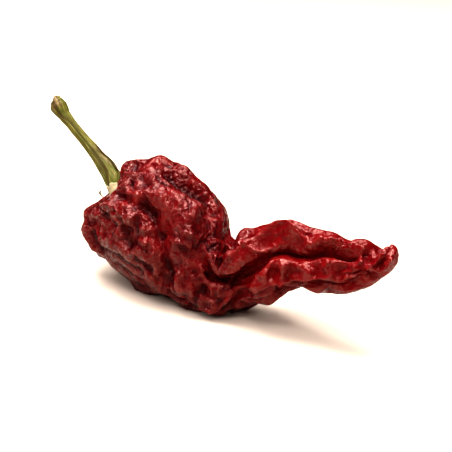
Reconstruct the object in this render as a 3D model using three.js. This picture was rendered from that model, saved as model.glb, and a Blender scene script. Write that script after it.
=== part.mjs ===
// Dried choricero pepper, lying on a flat surface: a wrinkled pod with its calyx and stem.
// Millimetres, +Z up, origin on the surface under the middle of the whole pepper, +X towards the tip.
import * as THREE from "three";

// ---------- driving dimensions ----------

// The pod is a skin drawn over ribs that run from the shoulder to the tip.
// Each rib: top point [x, z], bottom point [x, z], how far back it lies (y),
// how far it bulges to the front and how far to the back.
const podRibs = [
  [[-29.6, 41.4], [-44.6, 21.6], 7.2, 13.2, 14.2],
  [[-22.6, 44.2], [-41.8, 15.8], 6.4, 17.6, 18.0],
  [[-14.2, 42.8], [-36.4, 10.2], 5.2, 19.8, 20.2],
  [[-7.4, 37.8], [-29.6, 5.8], 3.8, 20.6, 21.0],
  [[-3.2, 33.6], [-22.8, 3.0], 2.2, 20.6, 17.2],
  [[0.0, 29.2], [-16.0, 1.0], 0.0, 18.8, 13.2],
  [[0.8, 26.0], [-9.8, -1.6], -2.2, 17.2, 9.8],
  [[1.4, 23.0], [-4.2, -2.2], -3.8, 14.6, 8.2],
  [[3.0, 22.0], [1.2, -2.8], -5.2, 12.8, 8.2],
  [[5.4, 25.4], [6.4, -1.4], -6.8, 12.0, 9.0],
  [[9.4, 27.4], [10.8, 2.0], -8.6, 11.2, 10.2],
  [[14.4, 29.2], [15.4, 4.2], -10.8, 10.8, 10.2],
  [[19.2, 30.0], [19.0, 8.6], -12.8, 9.4, 9.4],
  [[24.0, 28.8], [21.8, 11.2], -14.6, 8.6, 8.6],
  [[28.8, 28.2], [27.2, 10.2], -16.2, 8.2, 7.8],
  [[33.6, 26.4], [32.2, 10.6], -18.0, 7.8, 6.8],
  [[37.6, 26.6], [37.0, 13.4], -19.8, 6.8, 6.0],
  [[41.0, 25.4], [41.2, 16.6], -21.0, 5.6, 5.2],
  [[43.6, 27.0], [44.4, 19.6], -21.8, 3.8, 3.4],
];
const stemSeat = [-33.7, 8.1, 33.8];   // middle of the shoulder hollow
const podTip = [45.6, -22.3, 23.9];
const ribSlim = 0.955;                 // ribs drawn in a little, the folds stand proud of them
const shoulderSteps = [[1.6, 0.0], [1.4, 0.26], [-0.3, 0.60], [-1.0, 0.85]]; // [sunk, share of rib 1]
const slant = 0.45;                    // mm the pod comes to the front for every mm towards its tip
const slantRise = 0.146;               // mm it rises with that
const slantFrom = 4.3;                 // x where the slant leaves it in place
const middle = [4.71, -0.01];           // puts the origin under the whole pepper

// Folds of the dried skin: kind, path of [percent of the pod's length, degrees around it],
// half width, height.
// Along starts at the stem seat; around is 0 at the top, 90 at the front, 180 underneath, 270 at the back.
// "round" swells or sinks softly, "sharp" is a crest or a crease, "lip" is steep on one side only.
const folds = [
  // shoulder and the knobs round the stem
  ["round", [[9.5, 58], [9.5, 72], [10, 86]], 3.6, -2.7],
  ["round", [[12, 10], [13.5, 16]], 4.3, 1.7],
  ["round", [[10.5, 28], [12, 40]], 2.2, -2.1],
  ["round", [[17, 27]], 2.7, -2.2],
  ["sharp", [[14, 10], [18, 20], [21.5, 36]], 1.1, 1.1],
  ["round", [[19, 5], [20.5, 10]], 3.6, 1.5],
  ["sharp", [[22, 12], [23, 22], [25.5, 30]], 1, -1.7],
  ["round", [[25, 4]], 3.4, 0.7],
  ["round", [[15.5, 60], [19, 62]], 2.2, -2.2],
  ["round", [[17, 90], [19, 100]], 3.6, -2.4],
  ["sharp", [[13, 100], [14, 118], [18, 130], [22, 138]], 1.2, -1.5],
  ["round", [[13.5, 132], [18.5, 140]], 2.2, 1.4],
  ["round", [[17, 122], [24, 113], [31.5, 108]], 2.2, 1.5],
  ["sharp", [[22, 128], [28.5, 122], [35, 120]], 1.3, -1.5],
  // back ridge, the deep valley beside it and the broad swell
  ["sharp", [[24, 8], [28.5, 4], [35.5, 0], [41.5, 358], [44, 352]], 1.9, 1],
  ["round", [[24, 17], [28, 13], [32.5, 12], [37, 10]], 2.2, -2.9],
  ["sharp", [[32.5, 24], [37, 26], [41.5, 27], [45.5, 28]], 1.2, -1.5],
  ["round", [[37, 14], [41.5, 14]], 2.6, 0.9],
  ["round", [[26.5, 42], [30.5, 38], [35, 34]], 4.7, 2.1],
  // middle: pit, apron and the central valley
  ["round", [[24, 66], [27, 66]], 2.7, -3.1],
  ["round", [[30, 70], [35, 70]], 2.6, -2.1],
  ["round", [[37, 50], [40, 56]], 3.9, 1.5],
  ["round", [[28.5, 72], [33.5, 78], [37.5, 86], [40.5, 98], [42.5, 112], [45.5, 132]], 2.4, -3.6],
  ["round", [[21.5, 80], [25.5, 84], [29, 92]], 2.9, 1.9],
  ["round", [[42, 82], [44, 95], [45.5, 108], [47.5, 125]], 3.1, 2.2],
  ["round", [[37, 118], [41.5, 128]], 2.9, 1.4],
  // flap over the groove, then the upper fold running to the tip
  ["round", [[47, 66], [50, 72], [54, 80], [57.5, 82], [61, 78], [64, 71], [67.5, 68], [72.5, 71],
    [76, 66], [79.5, 60], [84, 52], [87.5, 46]], 2.5, -6],
  ["lip", [[47, 46], [48.5, 54], [50.5, 59], [54, 62], [57, 63], [60, 60], [62.5, 54], [66, 52]], 2.2, 2.4],
  ["sharp", [[57, 52], [60, 42], [61, 32], [63.5, 22], [65.5, 14], [69, 11], [72, 16],
    [74.5, 26]], 1.7, 2.2],
  ["round", [[54, 12], [56, 22], [52, 24]], 2.2, -2.2],
  ["round", [[65.5, 38], [69, 38], [72.5, 46]], 3.4, -1.5],
  ["sharp", [[47, 44], [49, 34], [51, 26]], 1, 1.2],
  ["round", [[60.5, 355], [67.5, 352], [75.5, 354], [80.5, 0]], 2.6, 1],
  ["round", [[75.5, 24], [79.5, 26], [83.5, 30]], 2.2, 1.4],
  ["round", [[83.5, 2], [84.5, 8]], 2.1, -1],
  // lower fold
  ["sharp", [[60.5, 99], [62.5, 90], [65.5, 83], [67.5, 77], [70, 75], [72, 78], [74, 85], [75.5, 84],
    [77.5, 76], [79.5, 70], [82.5, 66]], 1.9, 2.6],
  ["sharp", [[70, 108], [74, 110], [78.5, 107], [82.5, 94]], 1, 1.4],
  ["round", [[72, 126], [75.5, 128], [78.5, 122]], 1.9, -2.1],
  ["round", [[64, 116], [67.5, 122]], 3.1, 1.5],
  ["round", [[77, 138], [79.5, 140]], 2.7, 1.5],
  ["round", [[84, 136], [87, 138]], 2.9, 0.9],
  ["round", [[80.5, 130], [81, 140]], 1.4, -1.4],
  ["round", [[52.5, 96], [55.5, 98]], 2.6, 1.5],
  ["round", [[55, 122], [60, 126]], 2.7, 1.5],
  ["sharp", [[50, 84], [51, 100], [51, 116]], 1.4, -1.9],
  // tip
  ["round", [[86, 4], [88.5, 6]], 2.4, 0.7],
  ["round", [[88.5, 38], [90.5, 42]], 2.2, -2.2],
  ["sharp", [[86, 56], [89, 62], [92, 50]], 1.1, 1.2],
  ["round", [[84.5, 68], [87, 70]], 2.1, -1.9],
  ["sharp", [[84, 84], [87, 96], [89, 104]], 1.1, 1.2],
  ["sharp", [[89.5, 92], [92.5, 50], [94.5, 10]], 1, 1.4],
  ["round", [[92.5, 350], [93, 6]], 1.5, -1.4],
  // resting side and back
  ["round", [[30, 200], [36, 205]], 5, 1.5],
  ["round", [[36, 168], [42, 172]], 5, 1.4],
  ["round", [[46, 214]], 5.5, 2.5],
  ["round", [[21.5, 300], [31.5, 310], [38.5, 318]], 3.4, -2.6],
  ["round", [[18.5, 270], [28.5, 276], [40, 290]], 5.1, 2.1],
  ["round", [[24, 248], [35.5, 250], [44, 262]], 2.9, -2.6],
  ["round", [[54, 300], [64, 305], [74, 300], [82.5, 296]], 2.4, -3.4],
  ["round", [[57, 262], [68.5, 260], [78.5, 258]], 2.7, 1.4],
  ["round", [[60, 220], [70, 225], [78.5, 222]], 2.2, -2.2],
  ["round", [[14, 318], [17, 330]], 3.4, 1.7],
  ["round", [[13, 290], [14, 300]], 2.6, -2.1],
  ["round", [[13, 240], [15.5, 250]], 3.4, 1.7],
];
const podRows = 74;                    // facets along the pod
const podColumns = 64;                 // facets around it
const restHeight = 0.0;                // the skin is flat where it bears on the surface

// The calyx is a thin cap in the shoulder hollow, with one curled tooth left on its edge.
const calyxReach = 5.7;                // mm from the middle to the edge
const calyxEdge = [0.4, 0.3, 0.2];     // how uneven the edge is: 3, 5 and 8 waves
const calyxThickness = 0.8;
const calyxBoss = 2.0;                 // height of the flat seat for the stem above the hollow
const calyxBossReach = 3.9;
const calyxGap = 0.3;                  // air between the cap and the pod
const toothAround = 172;               // where the tooth stands
const toothReach = 1.9;
const toothRise = 2.2;
const calyxColumns = 60;

// The stem: centre line, radius along it, ribs round it and the cut end.
const stemPath = [[-35.0, 26.6, 29.8], [-37.0, 28.6, 33.8], [-40.3, 31.4, 37.9], [-44.4, 34.4, 42.1],
  [-48.5, 37.2, 46.3], [-51.6, 39.6, 49.8], [-53.3, 41.2, 53.5]];
const stemRadius = [[0, 3.1], [0.08, 2.9], [0.2, 2.45], [0.38, 1.95], [0.55, 1.7], [0.72, 1.65],
  [0.84, 1.85], [0.93, 2.2], [1, 1.9]];
const stemRibs = 6;
const stemRibHeight = 0.06;            // share of the radius
const stemSeatGap = 0.3;
const peel = { start: 0.22, end: 0.44, around: 20, spread: 26, height: 0.4 }; // lifted sliver of bark
const stemRows = 30;
const stemColumns = 30;

// ---------- small helpers ----------

const lerp = (a, b, t) => a + (b - a) * t;
const clamp01 = (v) => Math.min(1, Math.max(0, v));
const ease = (v) => v * v * (3 - 2 * v);
const rad = (deg) => (deg * Math.PI) / 180;
const turnBetween = (a, b) => ((((b - a + 180) % 360) + 360) % 360) - 180;

// Value between hand-set stations [t, value].
function between(stations, t) {
  for (let i = 1; i < stations.length; i++) {
    const [t0, v0] = stations[i - 1];
    const [t1, v1] = stations[i];
    if (t <= t1) return lerp(v0, v1, ease(clamp01((t - t0) / (t1 - t0))));
  }
  return stations[stations.length - 1][1];
}

// ---------- pod ----------

// One closed ring of points for every rib, with the shoulder rings before and the tip rings after them.
function ribRings(columns) {
  const top = podRibs.map((r) => new THREE.Vector3(r[0][0], r[2], r[0][1]));
  const low = podRibs.map((r) => new THREE.Vector3(r[1][0], r[2], r[1][1]));
  const mid = top.map((p, i) => p.clone().add(low[i]).multiplyScalar(0.5));
  const up = top.map((p, i) => p.clone().sub(low[i]).multiplyScalar(0.5 * ribSlim));
  const last = podRibs.length - 1;
  const out = mid.map((_, i) => {
    const along = mid[Math.min(i + 1, last)].clone().sub(mid[Math.max(i - 1, 0)]).normalize();
    return along.cross(up[i]).normalize();
  });
  const ring = (i, centre, size) => {
    const points = [];
    for (let j = 0; j < columns; j++) {
      const a = (j / columns) * 2 * Math.PI;
      const side = Math.sin(a) * (Math.sin(a) > 0 ? podRibs[i][3] : podRibs[i][4]);
      const point = centre.clone().addScaledVector(up[i], Math.cos(a) * size);
      points.push(point.addScaledVector(out[i], side * size));
    }
    return points;
  };
  const seat = new THREE.Vector3(...stemSeat);
  const tip = new THREE.Vector3(...podTip);
  const inward = up[0].clone().cross(out[0]).normalize(); // into the pod, square to the first rib
  const rings = shoulderSteps.map(([sunk, size]) => {
    const mix = (1 - size) ** 1.5;
    const centre = seat.clone().multiplyScalar(mix).addScaledVector(mid[0], 1 - mix);
    return ring(0, centre.addScaledVector(inward, sunk), size);
  });
  for (let i = 0; i <= last; i++) rings.push(ring(i, mid[i], 1));
  rings.push(ring(last, mid[last].clone().multiplyScalar(0.35).addScaledVector(tip, 0.65), 0.62));
  rings.push(Array.from({ length: columns }, () => tip.clone()));
  return rings;
}

// Distance along the pod to every ring, averaged round it.
function ringDistances(rings) {
  const along = [0];
  for (let i = 1; i < rings.length; i++) {
    const step = rings[i].reduce((sum, p, j) => sum + p.distanceTo(rings[i - 1][j]), 0) / rings[i].length;
    along.push(along[i - 1] + step);
  }
  return along;
}

// Smooth curve through the rings at a distance along the pod.
function ringAt(rings, along, t) {
  const n = rings.length;
  let k = 0;
  while (k < n - 2 && along[k + 1] <= t) k++;
  const slope = (i, j, axis) => {
    const d = (a, b) => (rings[b][j][axis] - rings[a][j][axis]) / (along[b] - along[a]);
    if (i === 0) return d(0, 1);
    if (i === n - 1) return d(n - 2, n - 1);
    const h0 = along[i] - along[i - 1];
    const h1 = along[i + 1] - along[i];
    return (d(i - 1, i) * h1 + d(i, i + 1) * h0) / (h0 + h1);
  };
  const h = along[k + 1] - along[k];
  const x = (t - along[k]) / h;
  return rings[k].map((p, j) => {
    const v = ["x", "y", "z"].map((axis) =>
      (2 * x ** 3 - 3 * x ** 2 + 1) * rings[k][j][axis] +
      (x ** 3 - 2 * x ** 2 + x) * h * slope(k, j, axis) +
      (-2 * x ** 3 + 3 * x ** 2) * rings[k + 1][j][axis] +
      (x ** 3 - x ** 2) * h * slope(k + 1, j, axis));
    return new THREE.Vector3(...v);
  });
}

// Outward direction at every point of a grid of rings.
function gridNormals(grid) {
  const rows = grid.length;
  const columns = grid[0].length;
  return grid.map((ring, i) => ring.map((p, j) => {
    const across = ring[(j + 1) % columns].clone().sub(ring[(j + columns - 1) % columns]);
    const down = grid[Math.min(i + 1, rows - 1)][j].clone().sub(grid[Math.max(i - 1, 0)][j]);
    return across.cross(down).normalize();
  }));
}

// Height that one fold adds at a point of the skin.
function foldRise([kind, path, width, height], at, around, girth, meanGirth, length) {
  const line = path.map(([percent, b]) => [(percent / 100) * length, b]);
  if (line.length === 1) line.push([line[0][0] + 0.01, line[0][1]]);
  const spans = line.slice(1).map(([a1, b1], i) => {
    const [a0, b0] = line[i];
    return Math.hypot(a1 - a0, rad(turnBetween(b0, b1)) * meanGirth((a0 + a1) / 2));
  });
  const total = spans.reduce((s, v) => s + v, 0);
  let best = Infinity, side = 0, done = 0, run = 0;
  for (let i = 0; i < spans.length; i++) {
    const [a0, b0] = line[i];
    const [a1, b1] = line[i + 1];
    const x = at - a0;
    const y = rad(turnBetween(b0, around)) * girth;
    const dx = a1 - a0;
    const dy = rad(turnBetween(b0, b1)) * girth;
    const u = clamp01((x * dx + y * dy) / Math.max(dx * dx + dy * dy, 1e-9));
    const far = Math.hypot(x - u * dx, y - u * dy);
    if (far < best) {
      best = far;
      side = Math.sign(dx * y - dy * x);
      done = run + u * spans[i];
    }
    run += spans[i];
  }
  let f;
  if (kind === "sharp") f = clamp01(1 - best / (2.2 * width)) ** 1.6;
  else if (kind === "lip") f = Math.exp(-((best / ((side > 0 ? 0.42 : 1.7) * width)) ** 2));
  else f = Math.exp(-((best / width) ** 2));
  if (total > 3.5 * width) f *= ease(clamp01(Math.min(done, total - done) / (2.2 * width)));
  return f * height;
}

// Grid of skin points of the finished pod.
function podSkin(rows, columns) {
  const rings = ribRings(columns);
  const along = ringDistances(rings);
  const length = along[along.length - 1];
  const at = Array.from({ length: rows }, (_, i) => (i / (rows - 1)) * length);
  const plain = at.map((t) => ringAt(rings, along, t));
  const normals = gridNormals(plain);
  const girths = plain.map((ring) => {
    const centre = ring.reduce((s, p) => s.add(p), new THREE.Vector3()).multiplyScalar(1 / columns);
    return ring.map((p) => Math.max(p.distanceTo(centre), 1));
  });
  const mean = girths.map((g) => g.reduce((s, v) => s + v, 0) / columns);
  const meanGirth = (t) => mean[Math.min(rows - 1, Math.max(0, Math.round((t / length) * (rows - 1))))];
  const skin = plain.map((ring, i) => ring.map((p, j) => {
    let rise = 0;
    const around = (j / columns) * 360;
    for (const fold of folds) rise += foldRise(fold, at[i], around, girths[i][j], meanGirth, length);
    return p.clone().addScaledVector(normals[i][j], rise);
  }));
  for (const ring of skin) {
    for (const p of ring) {
      const away = p.x - slantFrom;
      p.x += middle[0];
      p.y += middle[1] - slant * away;
      p.z = Math.max(p.z + slantRise * away, restHeight);
    }
  }
  return { skin, normals: gridNormals(skin), length };
}

// ---------- closed bodies from grids ----------

// Rings joined into one closed body; the first and last ring are closed by a middle point.
function closedBody(rings, first, last) {
  const columns = rings[0].length;
  const points = [first, ...rings.flat(), last];
  const index = [];
  const id = (i, j) => 1 + i * columns + (j % columns);
  for (let j = 0; j < columns; j++) {
    index.push(0, id(0, j), id(0, j + 1));
    index.push(points.length - 1, id(rings.length - 1, j + 1), id(rings.length - 1, j));
  }
  for (let i = 0; i < rings.length - 1; i++) {
    for (let j = 0; j < columns; j++) {
      index.push(id(i, j), id(i + 1, j), id(i + 1, j + 1));
      index.push(id(i, j), id(i + 1, j + 1), id(i, j + 1));
    }
  }
  const positions = new Float32Array(points.flatMap((p) => [p.x, p.y, p.z]));
  let volume = 0;
  for (let k = 0; k < index.length; k += 3) {
    const [a, b, c] = [points[index[k]], points[index[k + 1]], points[index[k + 2]]];
    volume += a.dot(b.clone().cross(c)) / 6;
  }
  if (volume < 0) {
    for (let k = 0; k < index.length; k += 3) [index[k + 1], index[k + 2]] = [index[k + 2], index[k + 1]];
  }
  const geometry = new THREE.BufferGeometry();
  geometry.setAttribute("position", new THREE.BufferAttribute(positions, 3));
  geometry.setIndex(index);
  geometry.computeVertexNormals();
  return geometry;
}

function buildPod() {
  const { skin } = podSkin(podRows, podColumns);
  return closedBody(skin.slice(1, -1), skin[0][0], skin[skin.length - 1][0]);
}

// ---------- calyx ----------

function buildCalyx() {
  const steps = 5;
  const fine = podSkin(281, calyxColumns);
  const pitch = fine.length / 280;
  const hollow = fine.normals[Math.round(calyxBossReach / pitch)];
  const outwards = hollow.reduce((s, n) => s.add(n), new THREE.Vector3()).normalize();
  const seat = fine.skin[0][0];
  const bossTop = seat.clone().addScaledVector(outwards, calyxBoss);
  const skinAt = (t, j) => {
    const i = Math.min(278, t / pitch);
    const k = Math.floor(i);
    return {
      point: fine.skin[k][j].clone().lerp(fine.skin[k + 1][j], i - k),
      normal: (k < 2 ? outwards.clone() : fine.normals[k][j].clone()),
    };
  };
  const under = [];
  const over = [];
  for (let s = 1; s <= steps; s++) {
    const lower = [];
    const upper = [];
    for (let j = 0; j < calyxColumns; j++) {
      const a = (j / calyxColumns) * 360;
      const uneven = calyxEdge[0] * Math.sin(rad(3 * a + 40)) + calyxEdge[1] * Math.sin(rad(5 * a + 190)) +
        calyxEdge[2] * Math.sin(rad(8 * a + 75));
      const tooth = s === steps ? clamp01(1 - Math.abs(turnBetween(toothAround, a)) / 11) : 0;
      const reach = (calyxReach + uneven) * (s / steps);
      const { point, normal } = skinAt(reach, j);
      const facing = normal.clone().lerp(outwards, clamp01(1 - reach / calyxReach)).normalize();
      const bottom = point.clone().addScaledVector(facing, calyxGap);
      const thick = calyxThickness * (s === steps ? 0.6 : 1);
      const top = point.clone().addScaledVector(facing, calyxGap + thick);
      const lack = bossTop.clone().sub(top).dot(outwards);
      if (reach < calyxBossReach + 1.6) {
        const seatShare = ease(clamp01((calyxBossReach + 1.6 - reach) / 1.6));
        top.addScaledVector(outwards, Math.max(0, lack) * seatShare);
      }
      if (tooth > 0) {
        const away = point.clone().sub(seat).normalize();
        for (const p of [bottom, top]) {
          p.addScaledVector(away, toothReach * tooth).addScaledVector(outwards, toothRise * tooth);
        }
      }
      lower.push(bottom);
      upper.push(top);
    }
    under.push(lower);
    over.push(upper);
  }
  const rings = [...under, ...over.reverse()];
  const bottom = seat.clone().addScaledVector(outwards, calyxGap);
  return { geometry: closedBody(rings, bottom, bossTop), bossTop, outwards };
}

// ---------- stem ----------

function buildStem(bossTop, outwards) {
  const foot = bossTop.clone().addScaledVector(outwards, stemSeatGap);
  const path = stemPath.map((p) => new THREE.Vector3(p[0] + middle[0], p[1] + middle[1], p[2]));
  path[0] = foot;
  const line = new THREE.CatmullRomCurve3(path, false, "centripetal");
  const rings = [];
  for (let i = 0; i < stemRows; i++) {
    const t = i / (stemRows - 1);
    const centre = line.getPointAt(t);
    // the foot stands square on the cap, then the stem turns into its own direction
    const along = line.getTangentAt(t).lerp(outwards, ease(clamp01(1 - t / 0.12))).normalize();
    const side = new THREE.Vector3(0, 1, 0).cross(along).normalize();
    const front = along.clone().cross(side);
    const ring = [];
    for (let j = 0; j < stemColumns; j++) {
      const a = (j / stemColumns) * 360;
      let r = between(stemRadius, t);
      r *= 1 + stemRibHeight * Math.cos(rad(stemRibs * a + 50 * t)) * ease(clamp01(t / 0.1));
      const onPeel = clamp01(1 - Math.abs(turnBetween(peel.around, a)) / peel.spread) *
        clamp01((t - peel.start) / 0.04) * clamp01((peel.end - t) / 0.12);
      r += peel.height * onPeel;
      const point = centre.clone().addScaledVector(side, Math.cos(rad(a)) * r);
      ring.push(point.addScaledVector(front, Math.sin(rad(a)) * r));
    }
    rings.push(ring);
  }
  const end = line.getPointAt(1).addScaledVector(line.getTangentAt(1), -0.5); // dried hollow of the cut end
  return closedBody(rings, foot, end);
}

// ---------- assembly ----------

const mesh = (name, geometry, colour) => {
  const m = new THREE.Mesh(geometry, new THREE.MeshStandardMaterial({ color: colour, roughness: 0.5 }));
  m.name = name;
  return m;
};

const calyx = buildCalyx();
const group = new THREE.Group();
group.name = "choricero_pepper";
group.add(mesh("pod", buildPod(), 0x7a1216));
group.add(mesh("calyx", calyx.geometry, 0xa08a54));
group.add(mesh("stem", buildStem(calyx.bossTop, calyx.outwards), 0x8a8a3c));

export default group;
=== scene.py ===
import bpy
import numpy as np
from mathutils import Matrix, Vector


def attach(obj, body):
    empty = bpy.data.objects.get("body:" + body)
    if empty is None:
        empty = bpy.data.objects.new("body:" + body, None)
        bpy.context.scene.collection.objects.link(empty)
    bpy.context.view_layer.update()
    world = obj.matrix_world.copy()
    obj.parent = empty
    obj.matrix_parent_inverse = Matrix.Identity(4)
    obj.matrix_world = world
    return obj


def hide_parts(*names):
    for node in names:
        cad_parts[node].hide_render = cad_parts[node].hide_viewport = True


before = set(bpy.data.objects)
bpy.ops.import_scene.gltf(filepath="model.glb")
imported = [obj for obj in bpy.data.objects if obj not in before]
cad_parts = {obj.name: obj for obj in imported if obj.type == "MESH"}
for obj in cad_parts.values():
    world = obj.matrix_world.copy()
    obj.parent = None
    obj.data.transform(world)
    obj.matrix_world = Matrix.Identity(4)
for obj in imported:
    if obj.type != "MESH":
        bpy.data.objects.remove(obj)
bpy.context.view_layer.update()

mm = 0.001


# small helpers; a grid of points is rows from end to end, closed around its columns

def unit(v):
    return v / np.maximum(np.linalg.norm(v, axis=-1, keepdims=True), 1e-9)


def ease(v):                            # 0 to 1 with a soft start and end
    v = np.clip(v, 0, 1)
    return v * v * (3 - 2 * v)


def turnBetween(a, b):                  # degrees from a round to b, the short way
    return (b - a + 180) % 360 - 180


def spread(x):                          # each point's neighbours, less the point itself
    up = np.concatenate([x[:1], x[:-1]])
    down = np.concatenate([x[1:], x[-1:]])
    return (up + down + np.roll(x, 1, 1) + np.roll(x, -1, 1)) / 4 - x


def softened(x, times):
    for _ in range(times):
        x = x + spread(x)
    return x


def rowSteps(p):                        # from the row before each row to the row after it
    step = np.empty_like(p)
    step[1:-1] = p[2:] - p[:-2]
    step[0] = p[1] - p[0]
    step[-1] = p[-1] - p[-2]
    return step


def outward(p):
    n = unit(np.cross(np.roll(p, -1, 1) - np.roll(p, 1, 1), rowSteps(p)))
    return n if ((n * (p - p.mean((0, 1)))).sum(2)).mean() > 0 else -n


axisMixers = (73856093, 19349663, 83492791)     # big odd numbers that scramble a cell's place
seedMixer = 2654435761


def scatter(cell, seed):                # a steady random number from 0 to 1 for each whole-number cell
    x, y, z = axisMixers
    h = (cell[..., 0] * x) ^ (cell[..., 1] * y) ^ (cell[..., 2] * z) ^ (seed * seedMixer)
    h = (h ^ (h >> 13)) * 1274126177 & 0x7FFFFFFF
    h = (h * 1103515245 + 12345) & 0x7FFFFFFF
    return ((h >> 8) & 0xFFFF) / 65535.0


def clouds(p, seed):                    # smooth noise, about -1 to 1
    home = np.floor(p).astype(np.int64)
    f = ease(p - home)
    total = 0
    for dx in (0, 1):
        for dy in (0, 1):
            for dz in (0, 1):
                corner = np.array((dx, dy, dz))
                w = np.prod(np.where(corner > 0, f, 1 - f), axis=-1)
                total = total + w * scatter(home + corner, seed)
    return total * 2 - 1


def creased(p, seed):                   # noise of flat facets with sharp edges between them, -1 to 1
    skewed = p + p.sum(-1, keepdims=True) / 3
    corner = np.floor(skewed).astype(np.int64)
    part = skewed - corner
    order = np.argsort(-part, axis=-1)
    share = np.take_along_axis(part, order, -1)
    total = (1 - share[..., 0]) * scatter(corner, seed)
    for k in range(3):
        corner = corner + (order[..., k:k + 1] == np.arange(3))
        last = share[..., k + 1] if k < 2 else 0
        total = total + (share[..., k] - last) * scatter(corner, seed)
    return total * 2 - 1


def throughRings(along, rings, at):     # smooth curves through the rings, read at the places asked for
    n = len(along)
    v = rings.reshape(n, -1)
    h = np.diff(along)[:, None]
    d = np.diff(v, axis=0) / h
    m = np.zeros_like(v)
    m[1:-1] = (d[:-1] * h[1:] + d[1:] * h[:-1]) / (h[1:] + h[:-1])
    m[0], m[-1] = d[0], d[-1]
    k = np.clip(np.searchsorted(along, at, side="right") - 1, 0, n - 2)
    step = (along[k + 1] - along[k])[:, None]
    x = ((at - along[k]) / (along[k + 1] - along[k]))[:, None]
    got = ((2 * x**3 - 3 * x**2 + 1) * v[k] + (x**3 - 2 * x**2 + x) * m[k] * step
           + (-2 * x**3 + 3 * x**2) * v[k + 1] + (x**3 - x**2) * m[k + 1] * step)
    return got.reshape((len(at),) + rings.shape[1:])


def smoothPath(points, rows):           # even steps along a smooth curve through the points, and its length
    points = np.array(points, float)
    length = np.concatenate([[0], np.cumsum(np.linalg.norm(np.diff(points, axis=0), axis=1))])
    return throughRings(length, points[:, None, :], np.linspace(0, length[-1], rows))[:, 0], length[-1]


def squareTo(along):                    # two directions square to a path
    side = unit(np.cross((0.0, 1.0, 0.0), along))
    return side, np.cross(along, side)


def between(stations, t):               # value between given stations (share of the way, value)
    share, value = np.array(stations, float).T
    k = np.clip(np.searchsorted(share, t, side="right") - 1, 0, len(share) - 2)
    return value[k] + (value[k + 1] - value[k]) * ease((t - share[k]) / (share[k + 1] - share[k]))


def closedMesh(name, rings, first, last, marks):        # rings in mm, drawn together to a point at both ends
    rows, columns = rings.shape[:2]
    points = np.concatenate([first[None], rings.reshape(-1, 3), last[None]]) * mm
    row = np.arange(rows - 1)[:, None] * columns + 1
    here = np.arange(columns)[None, :]
    beside = (here + 1) % columns
    quads = np.stack([row + here, row + columns + here, row + columns + beside, row + beside], -1)
    quads = quads.reshape(-1, 4)
    end = len(points) - 1
    lastRow = end - columns
    pairs = list(zip(here[0].tolist(), beside[0].tolist()))
    caps = [(0, 1 + a, 1 + b) for a, b in pairs] + [(end, lastRow + b, lastRow + a) for a, b in pairs]
    mesh = bpy.data.meshes.new(name)
    mesh.from_pydata(points.tolist(), [], quads.tolist() + caps)
    for key, values in marks.items():
        single = values.ndim == 2
        values = values.reshape(rows, columns, -1)
        middles = values[[0, -1]].mean(1)
        values = np.concatenate([middles[:1], values.reshape(rows * columns, -1), middles[1:]])
        layer = mesh.attributes.new(key, "FLOAT" if single else "FLOAT_VECTOR", "POINT")
        layer.data.foreach_set("value" if single else "vector", values.astype(np.float32).ravel())
    mesh.validate()
    corner = points[quads[:, 0]]
    facing = np.cross(points[quads[:, 1]] - corner, points[quads[:, 2]] - corner)
    if (facing * (corner - points.mean(0))).sum() < 0:
        mesh.flip_normals()
    mesh.polygons.foreach_set("use_smooth", [True] * len(mesh.polygons))
    obj = bpy.data.objects.new(name, mesh)
    bpy.context.scene.collection.objects.link(obj)
    return obj


class Shader:                           # a material being put together
    def __init__(self, name):
        self.mat = bpy.data.materials.new(name)
        self.mat.use_nodes = True
        self.tree = self.mat.node_tree
        self.main = self.tree.nodes["Principled BSDF"]

    def feed(self, socket, value):      # the value itself, or a link from another node
        if isinstance(value, bpy.types.NodeSocket):
            self.tree.links.new(value, socket)
        else:
            socket.default_value = value

    def add(self, kind, inputs, **settings):
        node = self.tree.nodes.new(kind)
        for key, value in settings.items():
            setattr(node, key, value)
        for key, value in inputs.items():
            self.feed(node.inputs[key], value)
        return node

    def set(self, **inputs):
        for key, value in inputs.items():
            self.feed(self.main.inputs[key.replace("_", " ")], value)

    def place(self):                    # where a point is on the piece, m
        return self.add("ShaderNodeTexCoord", {}).outputs["Object"]

    def mark(self, name, kind="Fac"):
        return self.add("ShaderNodeAttribute", {}, attribute_name=name).outputs[kind]

    def math(self, operation, a, b):
        return self.add("ShaderNodeMath", {0: a, 1: b}, operation=operation).outputs[0]

    def vector(self, operation, a, b):
        return self.add("ShaderNodeVectorMath", {0: a, 1: b}, operation=operation).outputs[0]

    def mix(self, factor, a, b):
        return self.add("ShaderNodeMix", {0: factor, 6: a, 7: b}, data_type="RGBA").outputs[2]

    def ramp(self, value, low, high, start=0.0, end=1.0):
        return self.add("ShaderNodeMapRange", {0: value, 1: low, 2: high, 3: start, 4: end},
                        interpolation_type="SMOOTHSTEP").outputs[0]

    def noise(self, where, scale, detail, roughness, **settings):
        return self.add("ShaderNodeTexNoise", {"Vector": where, "Scale": scale, "Detail": detail,
                                               "Roughness": roughness}, **settings).outputs[0]

    def bump(self, height, strength, distance):
        return self.add("ShaderNodeBump", {"Height": height, "Strength": strength,
                                           "Distance": distance}).outputs[0]


def finished(piece, material, node):
    piece.data.materials.append(material)
    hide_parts(node)
    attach(piece, "root")


# pod: a skin drawn over ribs from the shoulder to the tip, then folded

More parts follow.
